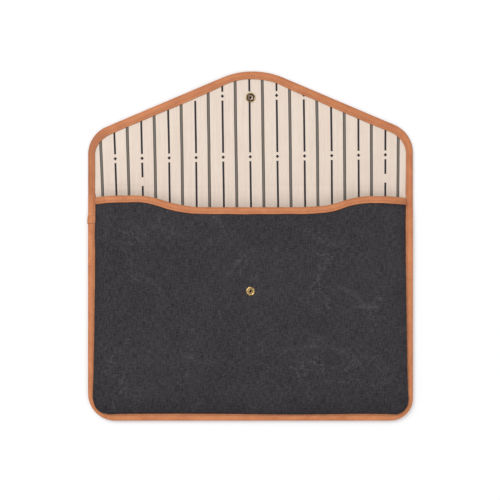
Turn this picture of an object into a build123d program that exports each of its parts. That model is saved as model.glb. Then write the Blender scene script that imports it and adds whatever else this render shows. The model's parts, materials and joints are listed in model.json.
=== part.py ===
from build123d import *
import math
import os

# A padded envelope sleeve for a thin 13-inch laptop. It lies on its back with the flap folded open.
# +X runs to the right, +Y from the bottom edge to the flap's point, and +Z up out of the front panel.
# The origin is at the centre of the sleeve's footprint, on the surface that it lies on. Sizes are in mm.

# Plan of the whole sleeve with the flap open
WIDTH = 346.0
LENGTH = 372.0
BOTTOM_LEFT_R = 29.0
BOTTOM_RIGHT_R = 24.0
FLAP_SLANT_DEG = 23.0
FLAP_POINT_X = 2.4
FLAP_SHOULDER_R = 32.0
FLAP_POINT_R = 83.0

# Plies
CANVAS = 0.9
FOAM = 2.2
FELT = 1.2
LINING = 0.5
SEAM_LINING = 0.4
LEATHER = 1.2
MOUTH_LEATHER = 1.0
PLY_GAP = 0.05

# Pouch: the panels are trays whose rims meet in the bound seam
SEAM_W = 8.0
BINDING_Z = 1.9
FRONT_TOP_Z = 20.2
FRONT_ROUND = 13.0
BACK_ROUND = 3.0

# Mouth of the pouch: high shoulders and a thumb dip with S-curved ends
MOUTH_SHOULDER_Y = 53.4
MOUTH_DIP = 12.4
MOUTH_END_Y = 51.4
DIP_X = 3.0
DIP_FLAT = 62.0
SHOULDER = 124.0
MOUTH_BINDING_W = 7.4
MOUTH_FOOT_Z = 7.2

# Lap where the two ends of the edge binding meet, on the left side
LAP_Y = 23.5
LAP_LENGTH = 9.0
LAP_SKIN = 0.4

# Folds: the flap turns about two lines, one on each side of the spine
FOLD_Z = 8.55
POUCH_FOLD_Y = 50.3
FLAP_FOLD_Y = 59.9
FOLD_GAP = 0.3

# Snap fastener
STUD_Y = -47.9
SOCKET_Y = 158.1
STUD_FLANGE_R = 4.9
STUD_HEAD_R = 2.3
STUD_WAIST_R = 1.95
SOCKET_R = 5.0
CAP_R = 6.0
POST_R = 1.45
POST_BORE_R = 0.75
POST_HOLE_R = 1.6
PATCH_R = 12.0
PATCH = 0.5

# Thread rows
THREAD_W = 0.5
THREAD_H = 0.25
THREAD_INSET = 5.6
MOUTH_THREAD_DROP = 4.9

# Heights that follow from the sizes above
SEAM_BACK_Z = BINDING_Z + LEATHER
SEAM_MID_Z = SEAM_BACK_Z + CANVAS + SEAM_LINING
SEAM_FRONT_Z = SEAM_MID_Z + SEAM_LINING
SEAM_TOP_Z = SEAM_FRONT_Z + CANVAS
BINDING_TOP_Z = SEAM_TOP_Z + LEATHER
FLAP_Z = LEATHER
FLAP_FELT_Z = FLAP_Z + CANVAS
FLAP_LINING_Z = FLAP_FELT_Z + FELT
FLAP_TOP_Z = FLAP_LINING_Z + LINING
FLAP_BINDING_TOP_Z = FLAP_TOP_Z + LEATHER
POUCH_END_Y = POUCH_FOLD_Y - FOLD_GAP
SPINE_LOW_Y = POUCH_FOLD_Y + FOLD_GAP
SPINE_HIGH_Y = FLAP_FOLD_Y - FOLD_GAP
FLAP_LOW_Y = FLAP_FOLD_Y + FOLD_GAP
PLY_INSET = LEATHER + 0.1
STACK = CANVAS + FOAM + LINING + 2 * PLY_GAP
FAR = 400.0


def rounded_face(corners):
    """A flat face with a rounded corner at each (x, y, radius), and a sharp one where the radius is 0."""
    face = make_face(Polyline(*[(x, y) for x, y, _ in corners], close=True))
    for x, y, radius in corners:
        if radius > 0:
            face = fillet(face.vertices().sort_by_distance((x, y, 0))[0], radius)
    return face


def plan(inset):
    """The sleeve's outline, drawn in by inset. Its point lies a little right of the middle."""
    slant = math.radians(FLAP_SLANT_DEG)
    half = WIDTH / 2 - inset
    bottom = -LENGTH / 2 + inset
    point = LENGTH / 2 + FLAP_POINT_R * (1 / math.cos(slant) - 1) - inset / math.cos(slant)
    right_shoulder = point - (half - FLAP_POINT_X) * math.tan(slant)
    left_shoulder = point - (half + FLAP_POINT_X) * math.tan(slant)
    return rounded_face(
        [
            (-half, bottom, BOTTOM_LEFT_R - inset),
            (half, bottom, BOTTOM_RIGHT_R - inset),
            (half, right_shoulder, FLAP_SHOULDER_R - inset),
            (FLAP_POINT_X, point, FLAP_POINT_R - inset),
            (-half, left_shoulder, FLAP_SHOULDER_R - inset),
        ]
    )


def band(low_y, high_y):
    """A wide block between two heights in the plan, for cutting a solid to length."""
    return Pos(0, (low_y + high_y) / 2, 0) * Box(FAR, high_y - low_y, FAR)


def plate(inset, low_z, thick, low_y, high_y):
    """A flat ply with the sleeve's outline, between two heights in the plan."""
    return (Pos(0, 0, low_z) * extrude(plan(inset), thick)) & band(low_y, high_y)


def rim(outer, inner, low_z, thick, low_y, high_y):
    """A flat strip that follows the outline, from one inset to another."""
    strip = Pos(0, 0, low_z) * extrude(plan(outer) - plan(inner), thick)
    return strip & band(low_y, high_y)


def pouch_block(inset, low_z, high_z, radius, round_top):
    """A block with the pouch's outline, past the mouth, whose top or bottom edge is rounded."""
    half = WIDTH / 2 - inset
    bottom = -LENGTH / 2 + inset
    high = LENGTH / 2
    left = (-half, bottom, BOTTOM_LEFT_R - inset)
    right = (half, bottom, BOTTOM_RIGHT_R - inset)
    face = rounded_face([left, right, (half, high, 0), (-half, high, 0)])
    block = Pos(0, 0, low_z) * extrude(face, high_z - low_z)
    level = high_z if round_top else low_z
    edges = block.edges().filter_by_position(Axis.Z, level - 0.01, level + 0.01)
    sides = [edge for edge in edges if edge.center().Y < high - 0.01]
    return fillet(sides, radius)


def front_block(depth):
    """The space under the front panel, from depth below its outer face."""
    return pouch_block(SEAM_W + depth, 0, FRONT_TOP_Z - depth, FRONT_ROUND - depth, True)


def mouth_line():
    """The edge of the mouth: one straight, and three tangent arcs on each side of it."""
    dip_y = MOUTH_SHOULDER_Y - MOUTH_DIP
    mid_y = (MOUTH_SHOULDER_Y + dip_y) / 2
    edges = [Edge.make_line((DIP_X - DIP_FLAT, dip_y), (DIP_X + DIP_FLAT, dip_y))]
    for side in (-1, 1):
        low = (DIP_X + side * DIP_FLAT, dip_y)
        middle = (DIP_X + side * (DIP_FLAT + SHOULDER) / 2, mid_y)
        high = (DIP_X + side * SHOULDER, MOUTH_SHOULDER_Y)
        end = (side * (WIDTH / 2 + 10), MOUTH_END_Y)
        edges.append(Edge.make_tangent_arc(low, (side, 0), middle))
        edges.append(Edge.make_tangent_arc(high, (-side, 0), middle))
        edges.append(Edge.make_tangent_arc(high, (side, 0), end))
    return edges


def above_mouth(drop):
    """Everything past a line that runs drop below the mouth's edge."""
    end_x = WIDTH / 2 + 10
    left = (-end_x, MOUTH_END_Y)
    right = (end_x, MOUTH_END_Y)
    box = Polyline(left, (-end_x, FAR), (end_x, FAR), right)
    face = make_face(mouth_line() + list(box.edges()))
    return Pos(0, -drop, -FAR / 4) * extrude(face, FAR)


def trim_front(solid):
    """Cuts a ply of the front panel to the mouth, and clears the foot of its two ends for the spine."""
    foot = Pos(0, POUCH_END_Y + FAR / 2, MOUTH_FOOT_Z - FAR / 2) * Box(FAR, FAR, FAR)
    return solid - above_mouth(MOUTH_LEATHER + 0.1) - foot


def disc(radius, y, low_z, thick):
    return Pos(0, y, low_z + thick / 2) * Cylinder(radius, thick)


def ring_of(profile, y, z):
    """Turns a list of (radius, height) points about a vertical line at y, from height z."""
    face = make_face(Polyline(*[(r, 0, h) for r, h in profile], close=True))
    return Pos(0, y, z) * revolve(face, Axis.Z)


def back_canvas():
    outer = pouch_block(SEAM_W, 0, SEAM_BACK_Z + CANVAS, BACK_ROUND, False)
    inner = pouch_block(SEAM_W + CANVAS, CANVAS, FAR / 4, BACK_ROUND - CANVAS, False)
    flange = rim(PLY_INSET, SEAM_W + CANVAS, SEAM_BACK_Z, CANVAS, -FAR, POUCH_END_Y)
    return (outer - inner) & band(-FAR, POUCH_END_Y), flange


def back_padding():
    inset = SEAM_W + CANVAS + PLY_GAP
    radius = BACK_ROUND - CANVAS - PLY_GAP
    block = pouch_block(inset, CANVAS + PLY_GAP, CANVAS + FOAM, radius, False)
    return block & band(-FAR, POUCH_END_Y)


def back_lining():
    inset = SEAM_W + CANVAS + PLY_GAP
    bottom = CANVAS + FOAM + PLY_GAP
    top = SEAM_BACK_Z + CANVAS
    floor = plate(inset, bottom, LINING, -FAR, POUCH_END_Y)
    wall = rim(inset, inset + LINING, bottom, top + SEAM_LINING - bottom, -FAR, POUCH_END_Y)
    flange = rim(PLY_INSET, inset + LINING, top, SEAM_LINING, -FAR, POUCH_END_Y)
    return floor, wall, flange


def front_ply(depth, thick, low_z):
    """One ply of the front panel as a tray, from depth below the outer face."""
    below = Pos(0, 0, low_z - FAR / 2) * Box(FAR * 2, FAR * 2, FAR)
    return trim_front(front_block(depth) - front_block(depth + thick) - below)


def front_canvas():
    hole = disc(POST_HOLE_R, STUD_Y, SEAM_TOP_Z, FRONT_TOP_Z)
    flange = rim(PLY_INSET, SEAM_W + CANVAS, SEAM_FRONT_Z, CANVAS, -FAR, POUCH_END_Y)
    return front_ply(0, CANVAS, SEAM_FRONT_Z) - hole, flange


def front_padding():
    hole = disc(POST_HOLE_R, STUD_Y, SEAM_TOP_Z, FRONT_TOP_Z)
    pocket = disc(PATCH_R + 0.1, STUD_Y, FRONT_TOP_Z - STACK, LINING + PLY_GAP + PATCH + 0.1)
    return front_ply(CANVAS + PLY_GAP, FOAM, SEAM_FRONT_Z + PLY_GAP) - hole - pocket


def front_lining():
    hole = disc(POST_HOLE_R, STUD_Y, SEAM_TOP_Z, FRONT_TOP_Z)
    flange = rim(PLY_INSET, SEAM_W + STACK, SEAM_MID_Z, SEAM_LINING, -FAR, POUCH_END_Y)
    return front_ply(STACK - LINING, LINING, SEAM_MID_Z) - hole, flange


def mouth_binding():
    """Leather folded over the mouth's raw edge, with a leg on each face of the front panel."""
    skin = front_block(-MOUTH_LEATHER) - front_block(STACK + MOUTH_LEATHER)
    strip = skin & (above_mouth(MOUTH_BINDING_W) - above_mouth(0))
    foot = Pos(0, 0, MOUTH_FOOT_Z - FAR / 2) * Box(FAR, FAR, FAR)
    slot = front_block(-PLY_GAP) - front_block(STACK + PLY_GAP) - above_mouth(MOUTH_LEATHER)
    return strip - foot - slot


def mouth_thread():
    skin = front_block(-MOUTH_LEATHER - THREAD_H) - front_block(-MOUTH_LEATHER - PLY_GAP / 2)
    strip = skin & (above_mouth(MOUTH_THREAD_DROP + THREAD_W) - above_mouth(MOUTH_THREAD_DROP))
    foot = Pos(0, 0, MOUTH_FOOT_Z + 1 - FAR / 2) * Box(FAR, FAR, FAR)
    return strip - foot


def lap_block(inset):
    """The space that the lap takes at the left edge, drawn in from its outside."""
    high = BINDING_TOP_Z + LAP_SKIN - BINDING_Z + LAP_SKIN - 2 * inset
    wide = SEAM_W - 0.1 - inset
    x = -WIDTH / 2 + inset + wide / 2
    return Pos(x, LAP_Y + LAP_LENGTH / 2, (BINDING_Z + BINDING_TOP_Z) / 2) * Box(wide, LAP_LENGTH, high)


def pouch_binding():
    high = BINDING_TOP_Z - BINDING_Z
    strip = rim(0, SEAM_W - 0.1, BINDING_Z, high, -FAR, POUCH_END_Y)
    slot = plate(LEATHER, SEAM_BACK_Z, SEAM_TOP_Z - SEAM_BACK_Z, -FAR, FAR)
    skived = Pos(-WIDTH / 2, LAP_Y + LAP_LENGTH / 2, 0) * Box(2 * LAP_SKIN, LAP_LENGTH, FAR)
    return strip - slot - skived


def binding_lap():
    return lap_block(0) - Pos(1, 0, 0) * lap_block(LAP_SKIN) - lap_block(LAP_SKIN)


def pouch_thread():
    row = rim(THREAD_INSET, THREAD_INSET + THREAD_W, BINDING_TOP_Z, THREAD_H, -FAR, POUCH_END_Y)
    lap = Pos(-WIDTH / 2, LAP_Y + LAP_LENGTH / 2, 0) * Box(2 * SEAM_W, LAP_LENGTH + 0.2, FAR)
    return row - lap


def flap_plies(low_y, high_y):
    """Canvas, felt and lining of the flap or of the spine."""
    canvas = plate(PLY_INSET, FLAP_Z, CANVAS, low_y, high_y)
    felt = plate(PLY_INSET, FLAP_FELT_Z, FELT, low_y, high_y)
    lining = plate(PLY_INSET, FLAP_LINING_Z, LINING, low_y, high_y)
    return canvas, felt, lining


def flap_edge(low_y, high_y):
    """Leather folded over the edge of the flap or of the spine."""
    strip = rim(0, SEAM_W, 0, FLAP_BINDING_TOP_Z, low_y, high_y)
    return strip - plate(LEATHER, FLAP_Z, FLAP_TOP_Z - FLAP_Z, -FAR, FAR)


def flap_stitches(low_y, high_y):
    return rim(THREAD_INSET, THREAD_INSET + THREAD_W, FLAP_BINDING_TOP_Z, THREAD_H, low_y, high_y)


def snap_stud():
    """Domed stud: a flange on the canvas, a narrow waist and a round head, bored for its post."""
    bore = POST_R + PLY_GAP
    profile = [
        (bore, 0),
        (STUD_FLANGE_R, 0),
        (STUD_FLANGE_R, 0.25),
        (STUD_FLANGE_R - 0.3, 0.45),
        (STUD_WAIST_R, 0.5),
        (STUD_WAIST_R, 1.1),
        (STUD_HEAD_R, 1.4),
        (STUD_HEAD_R, 1.8),
        (STUD_HEAD_R - 0.5, 2.2),
        (bore, 2.2),
    ]
    return ring_of(profile, STUD_Y, FRONT_TOP_Z)


def stud_post():
    """Hollow rivet that holds the stud, with its washer head inside the pocket."""
    bottom = FRONT_TOP_Z - STACK
    profile = [
        (0, -0.4),
        (4.2, -0.4),
        (4.5, -0.1),
        (4.5, 0),
        (POST_R, 0),
        (POST_R, STACK + 2.1),
        (POST_BORE_R, STACK + 2.1),
        (POST_BORE_R, 0.6),
        (0, 0.6),
    ]
    return ring_of(profile, STUD_Y, bottom)


def stud_patch():
    low = FRONT_TOP_Z - STACK + LINING + PLY_GAP
    return disc(PATCH_R, STUD_Y, low, PATCH) - disc(POST_HOLE_R, STUD_Y, low, PATCH)


def snap_socket():
    """Ring with a rolled lip and an inner groove for the spring, on a thin base."""
    bore = POST_R + PLY_GAP
    profile = [
        (bore, 0),
        (SOCKET_R, 0),
        (SOCKET_R, 1.2),
        (SOCKET_R - 0.5, 1.8),
        (SOCKET_R - 1.2, 2.0),
        (2.9, 2.0),
        (2.7, 1.8),
        (2.7, 1.45),
        (3.7, 1.45),
        (3.7, 0.25),
        (bore, 0.25),
    ]
    return ring_of(profile, SOCKET_Y, FLAP_TOP_Z)


def snap_spring():
    """Round wire ring in the socket's groove."""
    wire = Location((3.0, 0, 0)) * Plane.XZ * Circle(0.4)
    return Pos(0, SOCKET_Y, FLAP_TOP_Z + 0.85) * revolve(wire, Axis.Z)


def snap_cap():
    """Domed button on the outside of the flap, with the hollow post that holds the socket."""
    top = FLAP_TOP_Z + 0.25 - FLAP_Z
    profile = [
        (0, -1.0),
        (CAP_R - 2.0, -0.9),
        (CAP_R - 0.5, -0.6),
        (CAP_R, -0.3),
        (CAP_R, 0),
        (POST_R, 0),
        (POST_R, top),
        (POST_BORE_R, top),
        (POST_BORE_R, 0.4),
        (0, 0.4),
    ]
    return ring_of(profile, SOCKET_Y, FLAP_Z)


def socket_patch():
    return disc(PATCH_R, SOCKET_Y, FLAP_FELT_Z, PATCH) - disc(POST_HOLE_R, SOCKET_Y, FLAP_FELT_Z, PATCH)


def pouch_parts():
    return {
        "back_canvas": back_canvas(),
        "back_padding": back_padding(),
        "back_lining": back_lining(),
        "front_canvas": front_canvas(),
        "front_padding": front_padding(),
        "front_lining": front_lining(),
        "mouth_binding": mouth_binding(),
        "mouth_thread": mouth_thread(),
        "pouch_binding": pouch_binding(),
        "binding_lap": binding_lap(),
        "pouch_thread": pouch_thread(),
        "snap_stud": snap_stud(),
        "stud_post": stud_post(),
        "stud_patch": stud_patch(),
    }


def spine_parts():
    canvas, felt, lining = flap_plies(SPINE_LOW_Y, SPINE_HIGH_Y)
    edges = flap_edge(SPINE_LOW_Y, SPINE_HIGH_Y).solids().sort_by(Axis.X)
    return {
        "spine_canvas": canvas,
        "spine_interlining": felt,
        "spine_lining": lining,
        "spine_binding_left": edges[0],
        "spine_binding_right": edges[1],
        "spine_thread": flap_stitches(SPINE_LOW_Y, SPINE_HIGH_Y),
    }


def flap_parts():
    canvas, felt, lining = flap_plies(FLAP_LOW_Y, FAR)
    hole = disc(POST_HOLE_R, SOCKET_Y, 0, FLAP_BINDING_TOP_Z)
    pocket = disc(PATCH_R + 0.1, SOCKET_Y, FLAP_FELT_Z, PATCH)
    return {
        "flap_canvas": canvas - hole,
        "flap_interlining": felt - pocket - hole,
        "flap_lining": lining - hole,
        "flap_binding": flap_edge(FLAP_LOW_Y, FAR),
        "flap_thread": flap_stitches(FLAP_LOW_Y, FAR),
        "snap_socket": snap_socket(),
        "snap_spring": snap_spring(),
        "snap_cap": snap_cap(),
        "socket_patch": socket_patch(),
    }


def whole(shape):
    """One shape from a shape or from the pieces that make it up."""
    if isinstance(shape, tuple):
        first, *rest = shape
        for piece in rest:
            first = first + piece
        return first
    return shape


os.makedirs("parts", exist_ok=True)
for parts in (pouch_parts(), spine_parts(), flap_parts()):
    for node, shape in parts.items():
        export_step(whole(shape), f"parts/{node}.step")
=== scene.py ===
"""The looks of a padded canvas envelope sleeve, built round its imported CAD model. Lengths are in metres."""

import json
import math

import bpy
import numpy as np
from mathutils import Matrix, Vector


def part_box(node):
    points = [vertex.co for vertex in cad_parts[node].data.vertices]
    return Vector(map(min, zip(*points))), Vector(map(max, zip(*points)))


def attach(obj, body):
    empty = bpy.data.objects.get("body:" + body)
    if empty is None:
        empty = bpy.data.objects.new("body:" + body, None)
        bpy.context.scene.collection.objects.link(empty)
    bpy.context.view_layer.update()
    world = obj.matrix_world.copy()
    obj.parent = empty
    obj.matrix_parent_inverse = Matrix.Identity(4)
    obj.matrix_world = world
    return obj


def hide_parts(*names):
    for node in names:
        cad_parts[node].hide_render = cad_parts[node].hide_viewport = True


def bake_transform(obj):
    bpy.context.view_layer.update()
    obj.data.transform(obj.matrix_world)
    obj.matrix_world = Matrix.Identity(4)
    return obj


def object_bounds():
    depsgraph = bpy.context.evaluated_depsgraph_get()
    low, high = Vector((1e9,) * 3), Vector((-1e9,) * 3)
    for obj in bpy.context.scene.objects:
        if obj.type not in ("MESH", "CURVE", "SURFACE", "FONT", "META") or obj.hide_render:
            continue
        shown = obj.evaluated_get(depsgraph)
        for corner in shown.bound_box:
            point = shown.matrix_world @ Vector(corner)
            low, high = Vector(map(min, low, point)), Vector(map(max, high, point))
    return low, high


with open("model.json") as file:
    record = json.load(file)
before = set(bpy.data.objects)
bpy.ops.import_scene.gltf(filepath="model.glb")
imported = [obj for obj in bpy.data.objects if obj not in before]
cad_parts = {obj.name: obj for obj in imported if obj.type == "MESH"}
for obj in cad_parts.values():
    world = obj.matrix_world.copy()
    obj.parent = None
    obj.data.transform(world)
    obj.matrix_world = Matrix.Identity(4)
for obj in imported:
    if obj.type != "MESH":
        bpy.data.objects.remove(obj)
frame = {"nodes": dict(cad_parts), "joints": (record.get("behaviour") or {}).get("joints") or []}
cad_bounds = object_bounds()

# Places that the CAD model settles
HALF = cad_bounds[1].x
BOTTOM = cad_bounds[0].y
POINT = cad_bounds[1].y
FOLDS = {joint["name"]: joint["pos_m"] for joint in frame["joints"]}
POUCH_FOLD = FOLDS["spine_fold"][1]
FLAP_FOLD = FOLDS["flap_fold"][1]
MID_SPINE = (POUCH_FOLD + FLAP_FOLD) / 2
SEAM_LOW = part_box("pouch_binding")[0].z
SEAM_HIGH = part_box("pouch_binding")[1].z
FLAP_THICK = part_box("flap_binding")[1].z
FRONT_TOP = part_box("front_canvas")[1].z
MOUTH_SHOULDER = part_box("mouth_binding")[1].y
STUD_Y = sum(corner.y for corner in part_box("snap_stud")) / 2
SOCKET_Y = sum(corner.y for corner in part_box("snap_socket")) / 2
SEAM_MIDDLE = (SEAM_LOW + SEAM_HIGH) / 2

# Sizes of the cut pieces
LEFT_CORNER = 0.029
RIGHT_CORNER = 0.024
SHOULDER_CORNER = 0.032
POINT_CORNER = 0.083
POINT_X = 0.0024
SLANT = math.radians(23)
SEAM_W = 0.008
LEATHER = 0.0012
CANVAS = 0.0009
FOAM = 0.0022
LINING = 0.0005
STACK = 0.0037
SKIN_GAP = 0.00005
CLOTH_IN = 0.0014  # how far the cloth's edge stops inside the leather's fold
MOUTH_W = 0.0074
MOUTH_CLOTH_IN = 0.0012
MOUTH_DIP = 0.0124
DIP_X = 0.003
DIP_FLAT = 0.062
DIP_SHOULDER = 0.124
STITCH_PITCH = 0.0032
STITCH_IN = 0.0057
MOUTH_STITCH_IN = 0.0050
WALL_RUN = 0.017
WALL_ROUND = 2.5
SETTLE_FROM = 0.022  # where the seam starts to come down towards the spine
FELT_TAIL = 0.0055
LAP_LOW, LAP_HIGH = 0.0235, 0.0325


norm = np.linalg.norm


def smooth(t):
    t = np.clip(t, 0, 1)
    return t * t * (3 - 2 * t)


def bell(offset, width):
    return np.exp(-((offset / width) ** 2))


class Ripples:
    """A sum of seeded sine waves over a plane, about one high and with no repeats that show."""

    def __init__(self, seed, wavelength, count=9):
        chance = np.random.default_rng(seed)
        turn = chance.uniform(0, math.pi, count)
        length = wavelength * chance.uniform(0.65, 1.6, count)
        self.across = 2 * math.pi * np.cos(turn) / length
        self.up = 2 * math.pi * np.sin(turn) / length
        self.phase = chance.uniform(0, 2 * math.pi, count)

    def __call__(self, x, y):
        angle = np.multiply.outer(x, self.across) + np.multiply.outer(y, self.up) + self.phase
        return np.sin(angle).mean(-1) * 1.8


# --- the sleeve's outline and surfaces ---


def rounded_path(corners, radii, step):
    """Evenly spaced points along straight runs joined by arcs, with the outward normals of a path that
    turns left."""

    def run(a, b):
        return np.linspace(a, b, max(2, round(norm(b - a) / step)), endpoint=False)

    corners = [np.array(c, float) for c in corners]
    pieces, at = [], corners[0]
    for before, corner, after, radius in zip(corners, corners[1:], corners[2:], radii):
        a = (before - corner) / norm(before - corner)
        b = (after - corner) / norm(after - corner)
        half = math.acos(np.clip(a @ b, -1, 1)) / 2
        start, end = corner + a * radius / math.tan(half), corner + b * radius / math.tan(half)
        centre = corner + (a + b) / norm(a + b) * radius / math.sin(half)
        pieces.append(run(at, start))
        first = math.atan2(*(start - centre)[::-1])
        sweep = math.pi - 2 * half
        angles = first + np.linspace(0, sweep, max(3, round(sweep * radius / step)), endpoint=False)
        pieces.append(centre + radius * np.stack([np.cos(angles), np.sin(angles)], 1))
        at = end
    last = corners[-1]
    pieces.append(np.linspace(at, last, max(2, round(norm(last - at) / step)) + 1))
    points = np.concatenate(pieces)
    along = np.gradient(points, axis=0)
    along /= norm(along, axis=1)[:, None]
    return points, np.stack([along[:, 1], -along[:, 0]], 1)


SLANT_TOP = POINT + POINT_CORNER * (1 / math.cos(SLANT) - 1)
RIGHT_SHOULDER = SLANT_TOP - (HALF - POINT_X) * math.tan(SLANT)
LEFT_SHOULDER = SLANT_TOP - (HALF + POINT_X) * math.tan(SLANT)


def pouch_path(step):
    """From the left end of the spine's middle, round the pouch, to the right end."""
    corners = [(-HALF, MID_SPINE), (-HALF, BOTTOM), (HALF, BOTTOM), (HALF, MID_SPINE)]
    return rounded_path(corners, [LEFT_CORNER, RIGHT_CORNER], step)


def flap_path(step):
    """From the right end of the spine's middle, round the flap, to the left end."""
    corners = [(HALF, MID_SPINE), (HALF, RIGHT_SHOULDER), (POINT_X, SLANT_TOP), (-HALF, LEFT_SHOULDER)]
    radii = [SHOULDER_CORNER, POINT_CORNER, SHOULDER_CORNER]
    return rounded_path([*corners, (-HALF, MID_SPINE)], radii, step)


def pouch_edge(x, y):
    """How far a point is inside the pouch's outline, the way out there, and the length along the edge."""
    radius = np.where(x < 0, LEFT_CORNER, RIGHT_CORNER)
    qx, qy = np.abs(x) - (HALF - radius), (BOTTOM + radius) - y
    corner = (qx > 0) & (qy > 0)
    reach = np.hypot(qx, qy)
    side = (HALF - np.abs(x)) < (y - BOTTOM)
    depth = np.where(corner, radius - reach, np.where(side, HALF - np.abs(x), y - BOTTOM))
    safe = np.maximum(reach, 1e-9)
    out_x = np.where(corner, qx / safe, np.where(side, 1.0, 0.0)) * np.sign(x)
    out_y = -np.where(corner, qy / safe, np.where(side, 0.0, 1.0))
    turn = np.where(corner, np.arctan2(qx, qy), np.where(side, math.pi / 2, 0.0))
    flat = np.minimum(np.abs(x), HALF - radius)
    rise = np.maximum(y - BOTTOM - radius, 0)
    length = np.where(side | corner, HALF - radius, flat) + turn * radius + np.where(side, rise, 0)
    return depth, np.stack([out_x, out_y], -1), length * np.sign(x)


def mouth_y(x):
    """The edge of the mouth: high shoulders, a thumb dip with S-curved sides, ends that drop to the seam."""
    off = np.clip((np.abs(x - DIP_X) - DIP_FLAT) / (DIP_SHOULDER - DIP_FLAT), 0, 1)
    rise = np.where(off < 0.5, 2 * off**2, 1 - 2 * (1 - off) ** 2)
    sag = 0.0026 * np.clip((np.abs(x) - 0.136) / 0.034, 0, 2) ** 2 + 0.0007 * smooth((x - 0.085) / 0.025)
    ease = 0.0012 * bell(x + 0.073, 0.013) + 0.0007 * bell(x - 0.070, 0.012)
    return MOUTH_SHOULDER - MOUTH_DIP * (1 - rise) - sag + ease


def near_spine(y):
    """From nought in the pouch to one at the middle of the spine."""
    return smooth((y - SETTLE_FROM) / (MID_SPINE - SETTLE_FROM))


def seam_middle(y):
    """The height of the middle of the edge binding, which comes down to the table along the spine."""
    return SEAM_MIDDLE + (FLAP_THICK / 2 - SEAM_MIDDLE) * near_spine(y)


swell = Ripples(3, 0.110)
rumple = Ripples(5, 0.042, 14)
crinkle = Ripples(11, 0.013, 22)

# Soft creases of the front canvas: start, end, height and half width
CREASES = [
    ((0.088, -0.036), (0.139, -0.079), 0.00042, 0.0016),
    ((0.100, -0.070), (0.146, -0.058), 0.00030, 0.0014),
    ((0.060, -0.088), (0.118, -0.128), 0.00030, 0.0020),
    ((0.020, -0.118), (0.076, -0.101), 0.00022, 0.0020),
    ((-0.128, -0.020), (-0.083, -0.058), 0.00022, 0.0020),
    ((-0.080, -0.110), (-0.030, -0.131), 0.00022, 0.0018),
    ((-0.118, 0.022), (-0.060, 0.010), 0.00020, 0.0022),
    ((0.045, 0.018), (0.112, -0.004), 0.00022, 0.0022),
]


def crease_field(x, y):
    """The height of the soft creases, each thinning out towards its ends and a little crooked."""
    total = np.zeros_like(x)
    for start, end, height, width in CREASES:
        s, e = np.array(start), np.array(end)
        run = e - s
        length = norm(run)
        along = ((x - s[0]) * run[0] + (y - s[1]) * run[1]) / length**2
        off = ((x - s[0]) * -run[1] + (y - s[1]) * run[0]) / length
        off = off + 0.0022 * np.sin(along * 7 + start[0] * 90) + 0.0008 * np.sin(along * 19 + start[1] * 70)
        fade = smooth(along * 3) * smooth((1 - along) * 3)
        total += height * fade * bell(off, width)
    return total


def half_wave(t):
    return np.cos(np.clip(t, -1, 1) * math.pi / 2)


def front_point(x, y, depth, base):
    """A point of the front panel, depth below its outer face, where base is the ply's height in the seam."""
    inside, out, along = pouch_edge(x, y)
    base = base + seam_middle(y) - SEAM_MIDDLE
    rise = 1 - (1 - np.clip((inside - SEAM_W - 0.6 * depth) / WALL_RUN, 0, 1)) ** WALL_ROUND

    # The padded face: a low crown, ripples and creases, flat round the stud and puckered along the seam
    crown = 0.0010 * half_wave(x / 0.165) * half_wave((y + 0.066) / 0.125)
    ripples = 0.00035 * swell(x, y) + 0.00016 * rumple(x, y) + 0.00004 * crinkle(x, y)
    relief = crown + ripples + crease_field(x, y)
    near_stud = smooth((np.hypot(x, y - STUD_Y) - 0.0055) / 0.014)
    gathered = bell(inside - SEAM_W - 0.005, 0.006)
    pucker = 0.00022 * gathered * np.sin(along * 2 * math.pi / 0.0105 + 2.5 * np.sin(along * 47))
    bumps = relief * near_stud * smooth(rise * 1.2) + pucker
    z = base + (FRONT_TOP - depth - base) * rise + bumps * (rise > 0)

    # The walls belly out over the binding, more low down, at the bottom corners and high on the left
    level = np.clip((z - base) / (FRONT_TOP - base), 0, 1)
    belly = level * (1 - level) ** 1.5 * 5.4
    from_side, from_bottom = np.abs(x) - HALF, y - BOTTOM
    corner = bell(np.hypot(from_side + 0.012, from_bottom - 0.016), 0.030)
    push = 0.0015 + 0.0024 * smooth((0.03 - y) / 0.17) + np.where(x < 0, 0.0014, 0.0013) * corner
    push = push + 0.0011 * bell(y - 0.012, 0.014) * (x < 0)
    full_low = 0.54 + 0.32 * bell(x - 0.045, 0.060)
    push = push * (full_low + (1 - full_low) * np.abs(out[..., 0]))
    heart = np.where(x < 0, 0.0156, 0.0141)
    tip = bell(np.hypot(from_side + heart, from_bottom - heart), 0.0085)
    push = (push + np.where(x < 0, 0.0022, 0.0013) * tip) * belly * (inside < 0.06)

    # Towards the mouth the plies stay above the back's lining
    slack = 0.004 * (1 - smooth((y - 0.012) / 0.022))
    lowest = back_top(x, y) + 0.0001 + 0.12 * (STACK + 0.0012 - depth) - slack
    return np.stack([x + out[..., 0] * push, y + out[..., 1] * push, np.maximum(z, lowest)], -1)


def back_lift(y):
    """How far the flap's plies are lifted off the table by the binding under their edges."""
    return LEATHER * smooth((y - POUCH_FOLD + 0.022) / 0.022)


def back_point(x, y, height, seam):
    """A point of the back panel at height above its underside, where seam is the ply's height in the seam."""
    inside, _, along = pouch_edge(x, y)
    lift = 1 - smooth((inside - SEAM_W + 0.0015) / 0.011)
    flat = height + back_lift(y) + 0.00012 * rumple(x, y) * smooth((height - 0.0005) / 0.002)
    seam_now = seam + (height + LEATHER - seam) * near_spine(y)
    pucker = 0.00012 * np.sin(along * 2 * math.pi / 0.012) * lift * (1 - lift) * 4
    z = flat + (seam_now - flat) * lift + pucker
    return np.stack([x, y, z], -1)


def back_settle(y):
    """How far the padding has thinned out towards the spine."""
    drop = (FLAP_THICK - 2 * LEATHER) - (CANVAS + FOAM + LINING)
    return drop * smooth((y - POUCH_FOLD + 0.014) / 0.014)


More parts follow.
